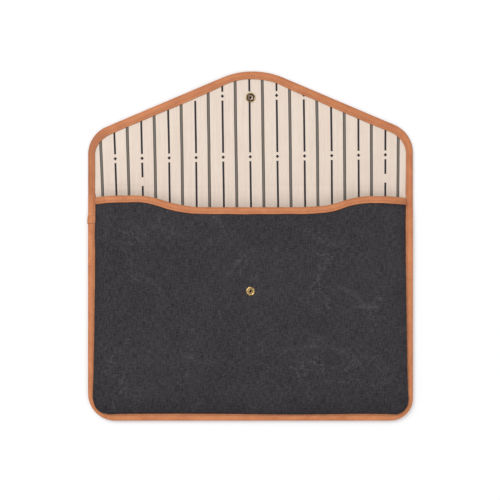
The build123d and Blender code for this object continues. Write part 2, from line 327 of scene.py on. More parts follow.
def back_top(x, y):
    """The height of the back panel's lining."""
    return back_point(x, y, CANVAS + FOAM + LINING, SEAM_MIDDLE)[..., 2] + back_settle(y)


def flap_inside(x, y):
    """How far a point is inside the flap's outline."""
    slant = (SLANT_TOP - y - np.abs(x - POINT_X) * math.tan(SLANT)) * math.cos(SLANT)
    return np.minimum(HALF - np.abs(x), slant)


flap_swell = Ripples(21, 0.085)
flap_rumple = Ripples(23, 0.030, 14)


def flap_point(x, y, height):
    """A point of the flap's plies, which lie almost flat."""
    middle = smooth((flap_inside(x, y) - SEAM_W) / 0.02)
    near_snap = smooth((np.hypot(x, y - SOCKET_Y) - 0.008) / 0.016)
    settle = smooth((y - MID_SPINE) / 0.012)
    fold = 0.00035 * bell(y - FLAP_FOLD - 0.0025 - 0.0012 * np.sin(x * 31), 0.0016)
    ease = 0.00022 * flap_swell(x, y) + 0.00012 * flap_rumple(x, y)
    z = height + back_lift(y) + ease * middle * near_snap * settle - fold * middle * settle
    return np.stack([x, y, z], -1)


# --- meshes ---


def placed(name, data):
    """A new object in the scene."""
    made = bpy.data.objects.new(name, data)
    bpy.context.scene.collection.objects.link(made)
    return made


def finish_mesh(name, points, faces, material, uv=None, sharp=None):
    """An object from points, faces and, for each point, its place on the material."""
    mesh = bpy.data.meshes.new(name)
    mesh.from_pydata([tuple(p) for p in np.asarray(points).reshape(-1, 3)], [], faces)
    mesh.validate()
    mesh.update()
    if uv is not None:
        layer = mesh.uv_layers.new(name="cloth")
        corner = np.zeros(len(mesh.loops), np.int32)
        mesh.loops.foreach_get("vertex_index", corner)
        layer.data.foreach_set("uv", np.asarray(uv, np.float32).reshape(-1, 2)[corner].ravel())
    mesh.polygons.foreach_set("use_smooth", np.ones(len(mesh.polygons), bool))
    if sharp is not None:
        mesh.set_sharp_from_angle(angle=sharp)
    mesh.materials.append(material)
    return placed(name, mesh)


def grid_faces(rows, columns, offset=0, flip=False, close=False):
    """Quads of a grid of points, with its columns joined round if close."""
    faces = []
    for j in range(rows - 1):
        for i in range(columns if close else columns - 1):
            k = (i + 1) % columns
            low, high = offset + j * columns, offset + (j + 1) * columns
            quad = [low + i, low + k, high + k, high + i]
            faces.append(quad[::-1] if flip else quad)
    return faces


def ply(name, outer, inner, cloth, material):
    """A closed sheet between two grids of points."""
    rows, columns, _ = outer.shape
    count = rows * columns
    faces = grid_faces(rows, columns) + grid_faces(rows, columns, count, flip=True)
    index = np.arange(count).reshape(rows, columns)
    loop = [*index[0], *index[1:, -1], *index[-1, -2::-1], *index[-2:0:-1, 0]]
    for a, b in zip(loop, loop[1:] + loop[:1]):
        faces.append([a, a + count, b + count, b])
    points, places = np.stack([outer, inner]), np.stack([cloth, cloth])
    return finish_mesh(name, points, faces, material, places, sharp=math.radians(50))


def spaced(low, high, fine, coarse, edge):
    """Values from low to high that are fine apart within edge of both ends and coarse apart between."""
    count = max(2, round(edge / fine))
    between = max(2, round((high - low - 2 * edge) / coarse))
    first = np.linspace(low, low + edge, count, endpoint=False)
    middle = np.linspace(low + edge, high - edge, between, endpoint=False)
    return np.concatenate([first, middle, np.linspace(high - edge, high, count + 1)])


def cloth_top(x):
    """The upper edge of the front's cloth, inside the mouth's leather."""
    return mouth_y(x) - MOUTH_CLOTH_IN


def pouch_grid(inset, high_y):
    """A grid over the pouch whose rings follow its rounded bottom corners, up to the line high_y(x)."""
    half, low, top = HALF - inset, BOTTOM + inset, MOUTH_SHOULDER
    spacing = (0.0010, 0.0028, 0.028)
    x, y = np.meshgrid(spaced(-half, half, *spacing), spaced(low, top, *spacing))
    radius = np.where(x < 0, LEFT_CORNER, RIGHT_CORNER) - inset
    a, b = (np.abs(x) - (half - radius)) / radius, ((low + radius) - y) / radius
    corner = (a > 0) & (b > 0)
    reach = np.maximum(a, b)
    low_turn = math.pi / 4 * b / np.maximum(a, 1e-9)
    high_turn = math.pi / 2 - math.pi / 4 * a / np.maximum(b, 1e-9)
    turn = np.where(a >= b, low_turn, high_turn)
    x = np.where(corner, np.sign(x) * (half - radius + radius * reach * np.cos(turn)), x)
    y = np.where(corner, low + radius - radius * reach * np.sin(turn), y)
    y = y + (high_y(x) - top) * smooth(y / top)
    return x, y


def flap_grid(inset):
    """A grid over the flap, from the middle of the spine to its outline drawn in by inset."""
    xs = (HALF - inset) * np.sin(np.linspace(-math.pi / 2, math.pi / 2, 190))
    points, normals = flap_path(0.0004)
    edge = points - normals * inset
    over = edge[(edge[:, 1] > LEFT_SHOULDER - 0.03)]
    order = np.argsort(over[:, 0])
    tops = np.interp(xs, over[order, 0], over[order, 1])
    fold_run = 0.012
    x, t = np.meshgrid(xs, np.linspace(0, 1, 70))
    y = (MID_SPINE + fold_run) + t * (tops[None, :] - MID_SPINE - fold_run)
    x_near, y_near = np.meshgrid(xs, np.linspace(MID_SPINE, MID_SPINE + fold_run, 14, endpoint=False))
    return np.concatenate([x_near, x]), np.concatenate([y_near, y])


def wall_stretch(x, y):
    """Cloth coordinates of the front panel, whose cloth runs on down the walls."""
    inside, out, _ = pouch_edge(x, y)
    steps = np.linspace(0, WALL_RUN, 60)
    height = (FRONT_TOP - SEAM_HIGH) * (1 - (1 - steps / WALL_RUN) ** WALL_ROUND)
    extra = np.concatenate([[0], np.cumsum(np.hypot(np.diff(steps), np.diff(height)) - np.diff(steps))])
    more = np.interp(np.clip(inside - SEAM_W, 0, WALL_RUN), steps, extra[-1] - extra)
    return np.stack([x + out[..., 0] * more, y + out[..., 1] * more], -1)


def strip(name, section, uv_along, uv_across):
    """A closed leather tube: section holds, for every station, the loop of points round the strip."""
    rows, columns, _ = section.shape
    faces = grid_faces(rows, columns, close=True)
    faces.append(list(range(columns))[::-1])
    faces.append([(rows - 1) * columns + i for i in range(columns)])
    places = np.stack(np.broadcast_arrays(uv_along[:, None], uv_across[None, :]), -1)
    return finish_mesh(name, section, faces, TAN, places, sharp=math.radians(60))


def length_along(points):
    return np.concatenate([[0], np.cumsum(norm(np.diff(points, axis=0), axis=1))])


def full_turn(count):
    return np.linspace(0, 2 * math.pi, count, endpoint=False)


def capsule(length, radius, sides=7, rings=3):
    """Points and faces of a short thread with rounded ends, along X."""
    left = []
    for k in range(1, rings + 1):
        angle = math.pi / 2 * k / (rings + 1)
        inward = radius * (1 - math.sin(math.pi / 2 - angle))
        left.append((-length / 2 + inward, radius * math.sin(angle)))
    left.append((-length / 2 + radius, radius))
    profile = left + [(-x, r) for x, r in reversed(left)]
    points = [(x, r * math.cos(t), r * math.sin(t)) for x, r in profile for t in full_turn(sides)]
    rows = len(profile)
    faces = grid_faces(rows, sides, close=True, flip=True)
    points += [(-length / 2, 0, 0), (length / 2, 0, 0)]
    for i in range(sides):
        faces.append([rows * sides, i, (i + 1) % sides])
        faces.append([rows * sides + 1, (rows - 1) * sides + (i + 1) % sides, (rows - 1) * sides + i])
    return np.array(points), faces


def whole_stitches(row):
    """The length along a stitched row, eased so that it holds a whole number of stitches."""
    along = length_along(row)
    return along * round(along[-1] / STITCH_PITCH) * STITCH_PITCH / along[-1]


def stitches(name, points, ups):
    """A row of separate stitches along a line of points, each sunk a little into the leather."""
    along = whole_stitches(points)
    at = np.arange(STITCH_PITCH / 2, along[-1], STITCH_PITCH)
    size, stitch_length = 0.00028, STITCH_PITCH * 0.70

    def sampled(values, shift=0.0):
        return np.stack([np.interp(at + shift, along, values[:, k]) for k in range(3)], 1)

    shape, shape_faces = capsule(stitch_length, size)
    chance = np.random.default_rng(len(points))
    all_points, all_faces = [], []
    for p, t, u in zip(sampled(points), sampled(points, 0.0005) - sampled(points, -0.0005), sampled(ups)):
        t = t / norm(t)
        u = u - t * (u @ t)
        u = u / norm(u)
        side = np.cross(u, t)
        slant = chance.normal(0, 0.05) + 0.10
        t, side = t * math.cos(slant) + side * math.sin(slant), side * math.cos(slant) - t * math.sin(slant)
        offset = len(all_points) * len(shape)
        bowed = shape[:, 2] - 0.35 * size * (2 * shape[:, 0] / stitch_length) ** 2
        all_points.append(p + np.outer(shape[:, 0], t) + np.outer(shape[:, 1], side) + np.outer(bowed, u))
        all_faces += [[offset + i for i in face] for face in shape_faces]
    flat = np.concatenate(all_points)
    return finish_mesh(name, flat, all_faces, THREAD, flat[:, :2])


def lathe(name, profile, y, z, segments=96):
    """A closed loop of (radius, height, colour shift) points, in millimetres, turned about a vertical line.
    """
    loop = np.array(profile, float) * (0.001, 0.001, 1)
    angles = full_turn(segments)
    points, ring = [], []
    for r, h, _ in loop:
        if r < 1e-7:
            ring.append([len(points)])
            points.append((0, y, z + h))
        else:
            ring.append(list(range(len(points), len(points) + segments)))
            points += [(r * math.cos(t), y + r * math.sin(t), z + h) for t in angles]
    faces = []
    for a, b in zip(ring, ring[1:] + ring[:1]):
        if len(a) == 1 and len(b) == 1:
            continue
        for i in range(segments):
            k = (i + 1) % segments
            quad = [a[i % len(a)], b[i % len(b)], b[k % len(b)], a[k % len(a)]]
            faces.append(list(dict.fromkeys(quad)))
    piece = finish_mesh(name, points, faces, BRASS, sharp=math.radians(38))
    wear_of(piece, [value for row, value in zip(ring, loop[:, 2]) for _ in row], "tarnish_and_hole_shade")
    return piece


def rounded(points, radius=0.12, steps=3):
    """A closed profile with its corners cut round."""
    made = []
    count = len(points)
    for k in range(count):
        p, a, b = (np.array(points[i % count], float) for i in (k, k - 1, k + 1))
        if p[0] < 1e-6:
            made.append(tuple(p))
            continue
        back, on = a - p, b - p
        far_back, far_on = norm(back[:2]), norm(on[:2])
        cut = min(radius, 0.4 * far_back, 0.4 * far_on)
        start, end = p + back / far_back * cut, p + on / far_on * cut
        for t in np.linspace(0, 1, steps):
            made.append(tuple((1 - t) ** 2 * start + 2 * t * (1 - t) * p + t * t * end))
    return made


# --- materials ---


class Paint:
    """A Principled material with short calls for its nodes."""

    def __init__(self, name, **values):
        self.material = bpy.data.materials.new(name)
        self.material.use_nodes = True
        self.tree = self.material.node_tree
        self.shader = self.tree.nodes["Principled BSDF"]
        for socket, value in values.items():
            self.shader.inputs[socket.replace("_", " ")].default_value = value

    def add(self, kind, *inputs, out=0, **settings):
        node = self.tree.nodes.new(kind)
        for key, value in settings.items():
            setattr(node, key, value)
        for slot, value in enumerate(inputs):
            if value is not None:
                self.put(node.inputs[slot], value)
        return node.outputs[out]

    def put(self, socket, value):
        if isinstance(value, bpy.types.NodeSocket):
            self.tree.links.new(value, socket)
        else:
            socket.default_value = value

    def math(self, operation, a, b=None, c=None, clamp=False):
        return self.add("ShaderNodeMath", a, b, c, operation=operation, use_clamp=clamp)

    def plus(self, a, b):
        return self.math("ADD", a, b)

    def minus(self, a, b):
        return self.math("SUBTRACT", a, b)

    def times(self, a, b, clamp=False):
        return self.math("MULTIPLY", a, b, clamp=clamp)

    def times_plus(self, a, b, c):
        return self.math("MULTIPLY_ADD", a, b, c)

    def size(self, a):
        return self.math("ABSOLUTE", a)

    def attribute(self, name):
        return self.add("ShaderNodeAttribute", attribute_name=name, out=2)

    def spot(self):
        """The place on the piece itself, in metres."""
        return self.add("ShaderNodeTexCoord", out=3)

    def place(self):
        """The cloth coordinates, in metres, as a vector and as two numbers."""
        vector = self.add("ShaderNodeUVMap", uv_map="cloth")
        split = self.tree.nodes.new("ShaderNodeSeparateXYZ")
        self.put(split.inputs[0], vector)
        return vector, split.outputs[0], split.outputs[1]

    def scaled(self, vector, x, y):
        return self.add("ShaderNodeVectorMath", vector, (x, y, x), operation="MULTIPLY")

    def noise(self, vector, x, y=None, detail=2.0, roughness=0.5, distortion=0.0):
        """Noise with x grains to a metre along the first and last axes, and y along the second."""
        node = self.tree.nodes.new("ShaderNodeTexNoise")
        settings = [self.scaled(vector, x, x if y is None else y), 1.0, detail, roughness, distortion]
        for socket, value in zip(("Vector", "Scale", "Detail", "Roughness", "Distortion"), settings):
            self.put(node.inputs[socket], value)
        return node.outputs[0]

    def fit(self, value, low, high, to_low=0.0, to_high=1.0, soft=True):
        node = self.tree.nodes.new("ShaderNodeMapRange")
        node.interpolation_type = "SMOOTHSTEP" if soft else "LINEAR"
        for slot, v in enumerate((value, low, high, to_low, to_high)):
            self.put(node.inputs[slot], v)
        return node.outputs[0]

    def mix(self, share, a, b):
        node = self.tree.nodes.new("ShaderNodeMix")
        node.data_type = "RGBA"
        for slot, v in zip((0, 6, 7), (share, a, b)):
            self.put(node.inputs[slot], v)
        return node.outputs[2]

    def bump(self, height, distance, strength):
        node = self.tree.nodes.new("ShaderNodeBump")
        for socket, value in (("Strength", strength), ("Distance", distance), ("Height", height)):
            self.put(node.inputs[socket], value)
        return node.outputs[0]

    def colour(self, value):
        self.put(self.shader.inputs["Base Color"], value)

    def finish(self, normal=None, roughness=None):
        if normal is not None:
            self.put(self.shader.inputs["Normal"], normal)
        if roughness is not None:
            self.put(self.shader.inputs["Roughness"], roughness)
        return self.material


def weave(paint, u, v, pitch_u, pitch_v):
    """Height of a plain weave: bumps where one yarn passes over the other."""
    a = paint.math("SINE", paint.times(u, math.pi / pitch_u))
    b = paint.math("SINE", paint.times(v, math.pi / pitch_v))
    over = paint.times(a, b)
    return paint.times_plus(over, 0.5, 0.5)


def canvas_material():
    """Washed charcoal canvas: a coarse plain weave with slubs, faded blotches and pale worn creases, darkened
    towards black by painted shade written on its points.
    """
    paint = Paint(
        "washed_canvas", Roughness=0.95, Sheen_Weight=0.02, Sheen_Roughness=0.6, Specular_IOR_Level=0.12
    )
    vector, u, v = paint.place()
    wobble = paint.noise(vector, 160, detail=1)
    u2 = paint.times_plus(wobble, 0.0007, u)
    v2 = paint.times_plus(wobble, -0.0007, v)
    cloth = weave(paint, u2, v2, 0.00085, 0.00095)
    weft = paint.noise(vector, 200, 900, detail=3, roughness=0.6)
    warp = paint.noise(vector, 800, 150, detail=3, roughness=0.6)
    speck = paint.noise(vector, 700, detail=3, roughness=0.65)
    blotch = paint.noise(vector, 55, detail=4, roughness=0.6)
    cloud = paint.noise(vector, 11, detail=3, roughness=0.55)
    yarn = paint.plus(paint.fit(weft, 0.3, 0.7, 0, 0.5), paint.fit(warp, 0.3, 0.7, 0, 0.5))
    tone = paint.times_plus(yarn, 0.44, paint.times(speck, 0.46))
    tone = paint.times_plus(paint.fit(blotch, 0.3, 0.72), 0.06, tone)
    tone = paint.times_plus(cloud, 0.16, tone)
    tone = paint.times_plus(cloth, 0.16, tone)
    tone = paint.fit(tone, 0.32, 0.98, soft=False)
    dark = paint.mix(tone, (0.0050, 0.0042, 0.0052, 1), (0.0555, 0.0508, 0.0575, 1))
    fold = paint.noise(vector, 26, 34, detail=3, roughness=0.55, distortion=0.7)
    off_fold = paint.size(paint.minus(fold, 0.5))
    where = paint.fit(paint.noise(vector, 19, detail=1), 0.50, 0.62)
    wrinkle = paint.times(paint.fit(off_fold, 0.002, 0.020, 1.0, 0.0), where)
    wear = paint.attribute("wear")
    wear = paint.times_plus(wrinkle, 0.90, wear)
    patchy = paint.fit(paint.noise(vector, 420, detail=3, roughness=0.7), 0.42, 0.68)
    worn = paint.times(wear, paint.times_plus(patchy, 0.34, 0.08), clamp=True)
    # Painted shade written on the points darkens the cloth towards black.
    painted_shade = paint.attribute("painted_shade")
    colour = paint.mix(worn, dark, (0.105, 0.100, 0.105, 1))
    paint.colour(paint.mix(painted_shade, colour, (0.0020, 0.0018, 0.0022, 1)))
    height = paint.times_plus(yarn, 0.5, cloth)
    return paint.finish(paint.bump(height, 0.00022, 0.85))


def ticking_material():
    """Cream cotton with single and double woven stripes; each single stripe breaks round small diamonds."""
    pitch, line, gap, drop = 0.0289, 0.00108, 0.0046, 0.065
    tilt, tilt_from, first, row, fan = 0.0145, 0.125, -0.0006, 0.0950, 6.5
    ink, grey = (0.022, 0.020, 0.024, 1), (0.140, 0.122, 0.102, 1)
    paint = Paint("ticking", Roughness=0.88, Sheen_Weight=0.08, Sheen_Roughness=0.5, Specular_IOR_Level=0.22)
    vector, u, v = paint.place()
    spread = paint.times_plus(paint.math("POWER", paint.size(u), 3.0), -fan, 0.0)
    spread = paint.times(spread, paint.math("SIGN", u))
    lean = paint.times(paint.minus(v, tilt_from), paint.plus(spread, tilt))
    bend = paint.noise(vector, 14, detail=1)
    across = paint.plus(paint.plus(u, lean), paint.times_plus(bend, 0.0007, -0.00035))
    up = paint.times_plus(u, -tilt, v)
    fuzz = paint.noise(vector, 1400, 1400, detail=1)
    rough = paint.times_plus(fuzz, 0.0002, -0.0001)

    def from_line(offset):
        shifted = paint.math("DIVIDE", paint.minus(across, first + offset), pitch)
        index = paint.math("ROUND", shifted)
        away = paint.times(paint.minus(shifted, index), pitch)
        return index, paint.plus(paint.size(away), rough)

    def inside(value, limit, soft=0.00012):
        return paint.fit(value, limit - soft, limit + soft, 1.0, 0.0)

    column, off_line = from_line(0.0)
    turns = paint.math("DIVIDE", paint.minus(up, row), drop)
    off_row = paint.size(paint.times(paint.minus(turns, paint.math("ROUND", turns)), drop))
    off_extra = paint.size(paint.minus(up, 0.0701))
    odd = paint.math("LESS_THAN", paint.size(paint.math("WRAP", paint.plus(column, 4), 4.5, -4.5)), 0.5)
    broken = paint.math("MAXIMUM", inside(off_row, gap), paint.times(odd, inside(off_extra, gap)))
    single = paint.times(inside(off_line, line), paint.minus(1.0, broken))
    diamond = inside(paint.plus(off_line, paint.times(off_row, 0.9)), 0.0019)
    _, off_pair = from_line(pitch / 2 - 0.00064)
    pair_all = inside(off_pair, 0.00155)
    pair_core = inside(off_pair, 0.00095)
    slub = paint.noise(vector, 1600, 90, detail=2)
    streak = paint.noise(vector, 500, 12, detail=2)
    cloud = paint.noise(vector, 30, detail=3)
    light = paint.times_plus(slub, 0.5, paint.times(streak, 0.5))
    light = paint.fit(paint.times_plus(cloud, 0.25, light), 0.35, 0.9, soft=False)
    ground = paint.mix(light, (0.510, 0.425, 0.354, 1), (0.632, 0.540, 0.466, 1))
    colour = paint.mix(pair_all, ground, ink)
    colour = paint.mix(paint.times(pair_core, 0.92), colour, grey)
    dark = paint.math("MAXIMUM", single, diamond)
    paint.colour(paint.mix(dark, colour, ink))
    cloth = weave(paint, u, v, 0.00042, 0.0006)
    height = paint.times_plus(slub, 0.8, cloth)
    return paint.finish(paint.bump(height, 0.00010, 0.6))


def leather_material():
    """Smooth tan binding leather, darker towards its cut edges, with fine grain and pressed marks, and
    darkened by painted shade written on its points.
    """
    paint = Paint(
        "tan_leather", Roughness=0.55, Coat_Weight=0.04, Coat_Roughness=0.4, Specular_IOR_Level=0.30
    )
    vector, along, across = paint.place()
    cells = paint.tree.nodes.new("ShaderNodeTexVoronoi")
    cells.feature = "DISTANCE_TO_EDGE"
    cells.inputs["Scale"].default_value = 1.0
    paint.put(cells.inputs["Vector"], paint.scaled(vector, 1500, 1900))
    grain = paint.fit(cells.outputs[0], 0.0, 0.22)
    cloud = paint.noise(vector, 60, 110, detail=4, roughness=0.6)
    mottle = paint.noise(vector, 420, detail=3, roughness=0.6)
    tone = paint.fit(paint.times_plus(mottle, 0.5, cloud), 0.5, 1.0, soft=False)
    colour = paint.mix(tone, (0.385, 0.122, 0.041, 1), (0.570, 0.216, 0.083, 1))
    rim = paint.fit(across, 0.0018, 0.0028, 0.0, 0.4)
    colour = paint.mix(rim, colour, (0.25, 0.082, 0.030, 1))
    turns = paint.math("DIVIDE", along, STITCH_PITCH)
    off_hole = paint.times(paint.minus(turns, paint.math("ROUND", turns)), STITCH_PITCH * 0.6)
    hole = paint.fit(paint.plus(paint.size(off_hole), paint.size(across)), 0.0002, 0.0006, 0.78, 0.0)
    press = paint.fit(paint.size(across), 0.0002, 0.0009, 0.15, 0.0)
    colour = paint.mix(paint.math("MAXIMUM", hole, press), colour, (0.16, 0.050, 0.018, 1))
    colour = paint.mix(paint.times(paint.minus(1.0, grain), 0.28), colour, (0.30, 0.10, 0.04, 1))
    # Painted shade written on the points darkens the leather.
    painted_shade = paint.attribute("painted_shade")
    paint.colour(paint.mix(painted_shade, colour, (0.20, 0.060, 0.020, 1)))
    pull = paint.noise(vector, 260, 900, detail=2)
    height = paint.times_plus(pull, 0.6, paint.times(grain, 0.5))
    height = paint.times_plus(hole, -1.5, height)
    return paint.finish(paint.bump(height, 0.00012, 0.6), paint.fit(mottle, 0.3, 0.7, 0.46, 0.64))


def thread_material():
    """Waxed thread in nearly the leather's colour, twisted."""
    paint = Paint("thread", Roughness=0.6)
    twist = paint.noise(paint.spot(), 2600, detail=1)
    paint.colour(paint.mix(twist, (0.31, 0.100, 0.036, 1), (0.50, 0.195, 0.082, 1)))
    return paint.finish(paint.bump(twist, 0.0001, 0.4))


def brass_material():
    """Antique brass, brown in patches; a point value above nought blackens it, as patina in the socket's
    groove and as painted shade in the holes, and one below nought greys it.
    """
    paint = Paint("antique_brass", Metallic=1.0, Roughness=0.34)
    spot = paint.spot()
    patina = paint.noise(spot, 520, detail=4, roughness=0.65)
    fine = paint.noise(spot, 2600, detail=2)
    tarnish_and_hole_shade = paint.attribute("tarnish_and_hole_shade")
    colour = paint.mix(paint.fit(patina, 0.38, 0.66), (0.200, 0.120, 0.040, 1), (0.60, 0.43, 0.20, 1))
    colour = paint.mix(paint.times(tarnish_and_hole_shade, -1.0, clamp=True), colour, (0.125, 0.108, 0.125, 1))
    # Blackening above nought: patina in the socket's groove and painted shade there and at the bottoms of the
    # holes.
    paint.colour(paint.mix(paint.times(tarnish_and_hole_shade, 1.0, clamp=True), colour, (0.008, 0.006, 0.006, 1)))
    return paint.finish(paint.bump(fine, 0.00004, 0.25), paint.fit(patina, 0.3, 0.7, 0.46, 0.30))


def plain_material(name, low, high, roughness, scale, metallic=0.0):
    """A mottled material for the pieces that hardly show."""
    paint = Paint(name, Roughness=roughness, Metallic=metallic)
    grain = paint.noise(paint.spot(), scale, detail=4, roughness=0.7)
    paint.colour(paint.mix(paint.fit(grain, 0.3, 0.7), (*low, 1), (*high, 1)))
    return paint.finish(paint.bump(grain, 0.0002, 0.5))


def floor_material():
    """A white light table whose tone barely varies."""
    paint = Paint("white_table", Roughness=0.85, Emission_Color=(1, 1, 1, 1), Emission_Strength=0.17)
    paint.colour(paint.mix(paint.noise(paint.spot(), 3), (0.60, 0.60, 0.61, 1), (0.62, 0.62, 0.63, 1)))
    return paint.finish()


CANVAS_PAINT = canvas_material()
TICKING = ticking_material()
TAN = leather_material()
THREAD = thread_material()
BRASS = brass_material()
FOAM_PAINT = plain_material("foam", (0.10, 0.10, 0.11), (0.17, 0.17, 0.18), 0.95, 900)
FELT_PAINT = plain_material("felt", (0.42, 0.40, 0.37), (0.58, 0.56, 0.52), 0.95, 1200)
STIFF_PAINT = plain_material("stiffener", (0.70, 0.69, 0.65), (0.78, 0.77, 0.74), 0.6, 300)
STEEL = plain_material("spring_steel", (0.12, 0.11, 0.12), (0.24, 0.22, 0.24), 0.35, 800, metallic=1.0)


# --- the pieces ---


def across_pouch_fold(piece):
    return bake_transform(piece)


def across_flap_fold(piece):
    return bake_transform(piece)


def wear_of(piece, values, name="wear"):
    """Write values on the piece's points, over again where there are fewer of them than points."""
    layer = piece.data.attributes.new(name, "FLOAT", "POINT")
    layer.data.foreach_set("value", np.resize(np.asarray(values, np.float32), len(piece.data.vertices)))


def front_panel():
    """Canvas, foam and lining of the front of the pouch."""
    low_seam = SEAM_HIGH - LEATHER
    x, y = pouch_grid(CLOTH_IN, cloth_top)
    cloth = wall_stretch(x, y)
    outer = front_point(x, y, 0.0, low_seam)
    inner = front_point(x, y, CANVAS - 0.0001, low_seam - CANVAS + 0.0001)
    canvas = ply("front_canvas_cloth", outer, inner, cloth, CANVAS_PAINT)
    creased = np.clip(crease_field(x, y) / 0.00035, 0, 1)
    faded = 0.25 * np.clip(rumple(x, y), 0, 1) * np.clip(swell(x, y) + 0.3, 0, 1)
    # Painted shade on the front canvas: darker right beside the leather, along the bottom strip, less on the
    # right side above the bottom, and just under the mouth's leather.
    off_leather = pouch_edge(x, y)[0] - 0.0105
    low = 1 - smooth((y - BOTTOM - 0.012) / 0.030)
    painted_shade = 0.36 * np.exp(-np.maximum(off_leather, 0) / 0.0014) + 0.08 * (1 - smooth(off_leather / 0.014))
    painted_shade = painted_shade * (1 - 0.7 * (x > 0) * (1 - low)) + 0.12 * low
    under_mouth = mouth_y(x) - MOUTH_W - y
    painted_shade = painted_shade + 0.10 * np.exp(-under_mouth / 0.0015) * (under_mouth > 0)
    wear_of(canvas, creased + faded)
    wear_of(canvas, np.clip(painted_shade, 0, 0.85), "painted_shade")
    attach(canvas, "pouch")
    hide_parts("front_canvas")

    foam_x, foam_y = pouch_grid(SEAM_W + CANVAS, cloth_top)
    outer = front_point(foam_x, foam_y, CANVAS, low_seam - CANVAS)
    inner = front_point(foam_x, foam_y, CANVAS + FOAM, low_seam - CANVAS - 0.0001)
    foam = ply("front_foam", outer, inner, wall_stretch(foam_x, foam_y), FOAM_PAINT)
    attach(foam, "pouch")
    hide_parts("front_padding")

    outer = front_point(x, y, STACK - LINING - SKIN_GAP, low_seam - CANVAS - 0.0002)
    inner = front_point(x, y, STACK - SKIN_GAP, low_seam - CANVAS - 0.0005)
    lining = ply("front_lining_cloth", outer, inner, cloth, TICKING)
    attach(lining, "pouch")
    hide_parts("front_lining")


def back_panel():
    """Canvas, foam and lining of the back of the pouch, up to the middle of the spine."""
    even_top = 0.040  # up to here the rows follow the rounded corners, above it they are straight
    x, y = pouch_grid(CLOTH_IN, lambda x: np.full_like(x, even_top))
    more_x, more_y = np.meshgrid(x[-1], np.linspace(even_top, MID_SPINE, 22)[1:])
    x, y = np.concatenate([x, more_x]), np.concatenate([y, more_y])
    flat = np.stack([x, y], -1)
    canvas_low = SEAM_LOW + LEATHER
    outer = back_point(x, y, 0.0, canvas_low)
    inner = back_point(x, y, CANVAS, canvas_low + CANVAS)
    canvas = ply("back_canvas_cloth", inner, outer, flat, CANVAS_PAINT)
    wear_of(canvas, 0.2 * np.clip(rumple(x, y), 0, 1))
    across_pouch_fold(canvas)
    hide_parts("back_canvas", "spine_canvas")

    lining_low = SEAM_MIDDLE - 0.0004
    outer = back_point(x, y, CANVAS + FOAM + SKIN_GAP, lining_low)
    inner = back_point(x, y, CANVAS + FOAM + LINING, lining_low + 0.0004)
    outer[..., 2] += back_settle(y)
    inner[..., 2] += back_settle(y)
    lining = ply("back_lining_cloth", inner, outer, flat, TICKING)
    across_pouch_fold(lining)
    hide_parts("back_lining", "spine_lining")

    x, y = pouch_grid(SEAM_W + 0.0012, lambda x: np.full_like(x, POUCH_FOLD - 0.008))
    outer = back_point(x, y, CANVAS + SKIN_GAP, canvas_low + CANVAS)
    inner = back_point(x, y, CANVAS + FOAM, canvas_low + CANVAS + 0.0001)
    foam = ply("back_foam", inner, outer, np.stack([x, y], -1), FOAM_PAINT)
    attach(foam, "pouch")
    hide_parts("back_padding")


def flap_plies():
    """Canvas, felt and lining of the flap, from the middle of the spine."""
    top = FLAP_THICK - 2 * LEATHER
    felt_top = top - LINING

    def flap_ply(name, inset, high, low, paint):
        x, y = flap_grid(inset)
        outer, inner = flap_point(x, y, high), flap_point(x, y, low)
        return ply(name, outer, inner, np.stack([x, y], -1), paint)

    canvas = flap_ply("flap_canvas_cloth", CLOTH_IN, CANVAS, 0.0, CANVAS_PAINT)
    wear_of(canvas, 0.2 * np.clip(rumple(*flap_grid(CLOTH_IN)), 0, 1))
    lining = flap_ply("flap_lining_cloth", CLOTH_IN, top, felt_top + SKIN_GAP, TICKING)
    felt = flap_ply("flap_felt", SEAM_W - 0.001, felt_top, CANVAS + SKIN_GAP, FELT_PAINT)
    for piece, node, slot in [
        (canvas, "flap_canvas", "washed_canvas"),
        (lining, "flap_lining", "ticking"),
        (felt, "flap_interlining", "felt"),
    ]:
        across_flap_fold(piece)
        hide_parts(node)
    xs = spaced(-HALF + SEAM_W, HALF - SEAM_W, 0.002, 0.006, 0.02)
    x, y = np.meshgrid(xs, np.linspace(POUCH_FOLD - FELT_TAIL, MID_SPINE, 12))
    points = [back_point(x, y, h, 0.0) for h in (felt_top, CANVAS + SKIN_GAP)]
    felt = ply("spine_felt", *points, np.stack([x, y], -1), FELT_PAINT)
    across_pouch_fold(felt)
    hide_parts("spine_interlining")


def half_section(width, thick, leg, groove):
    """The upper half of a folded strip: (inward, up) from the middle of its fold, outside then inside."""
    high, low = thick / 2, thick / 2 - leg
    bulge = [(0.0, 0.0), (0.00015, 0.30), (0.0006, 0.62), (0.0014, 0.85), (0.0025, 0.965)]
    outside = [(a, high * share) for a, share in bulge]
    dent = [(-0.0007, 0.0), (-0.0003, 0.00008), (0.0, 0.00014), (0.0003, 0.00008), (0.0007, 0.0)]
    outside += [(0.0038, high), *((groove + a, high - b) for a, b in dent), (width - 0.0006, high + 0.00002)]
    outside += [(width - 0.0002, high - 0.00012), (width, high - 0.00045)]
    inside = [(width, low + 0.0002), (width - 0.0003, low), ((width + leg) / 2, low), (leg + 0.0006, low)]
    inside += [(leg + 0.0001, low * 0.7), (leg, 0.0)]
    return outside, inside


def folded_section(width, thick, leg, groove):
    """The section of a folded strip as a loop, with each point's distance past the row of stitches."""
    outside, inside = half_section(width, thick, leg, groove)
    upper = outside + inside
    loop = upper + [(a, -b) for a, b in reversed(upper[1:-1])]
    run = length_along(np.array(outside))
    run = run - run[[a for a, _ in outside].index(groove)]
    past = np.concatenate([run, np.full(len(inside), run[-1] + 0.0006)])
    return np.array(loop), np.concatenate([past, past[-2:0:-1]])


gather = Ripples(31, 0.011, 12)


def binding_width(y):
    """The leather shows a little narrower beside the spine and wider along the flap's slants."""
    slants = 0.0017 * smooth((y - 0.098) / 0.028) * (1 - 0.5 * smooth((y - 0.170) / 0.012))
    return SEAM_W - 0.0006 * smooth((y - 0.045) / 0.025) + slants


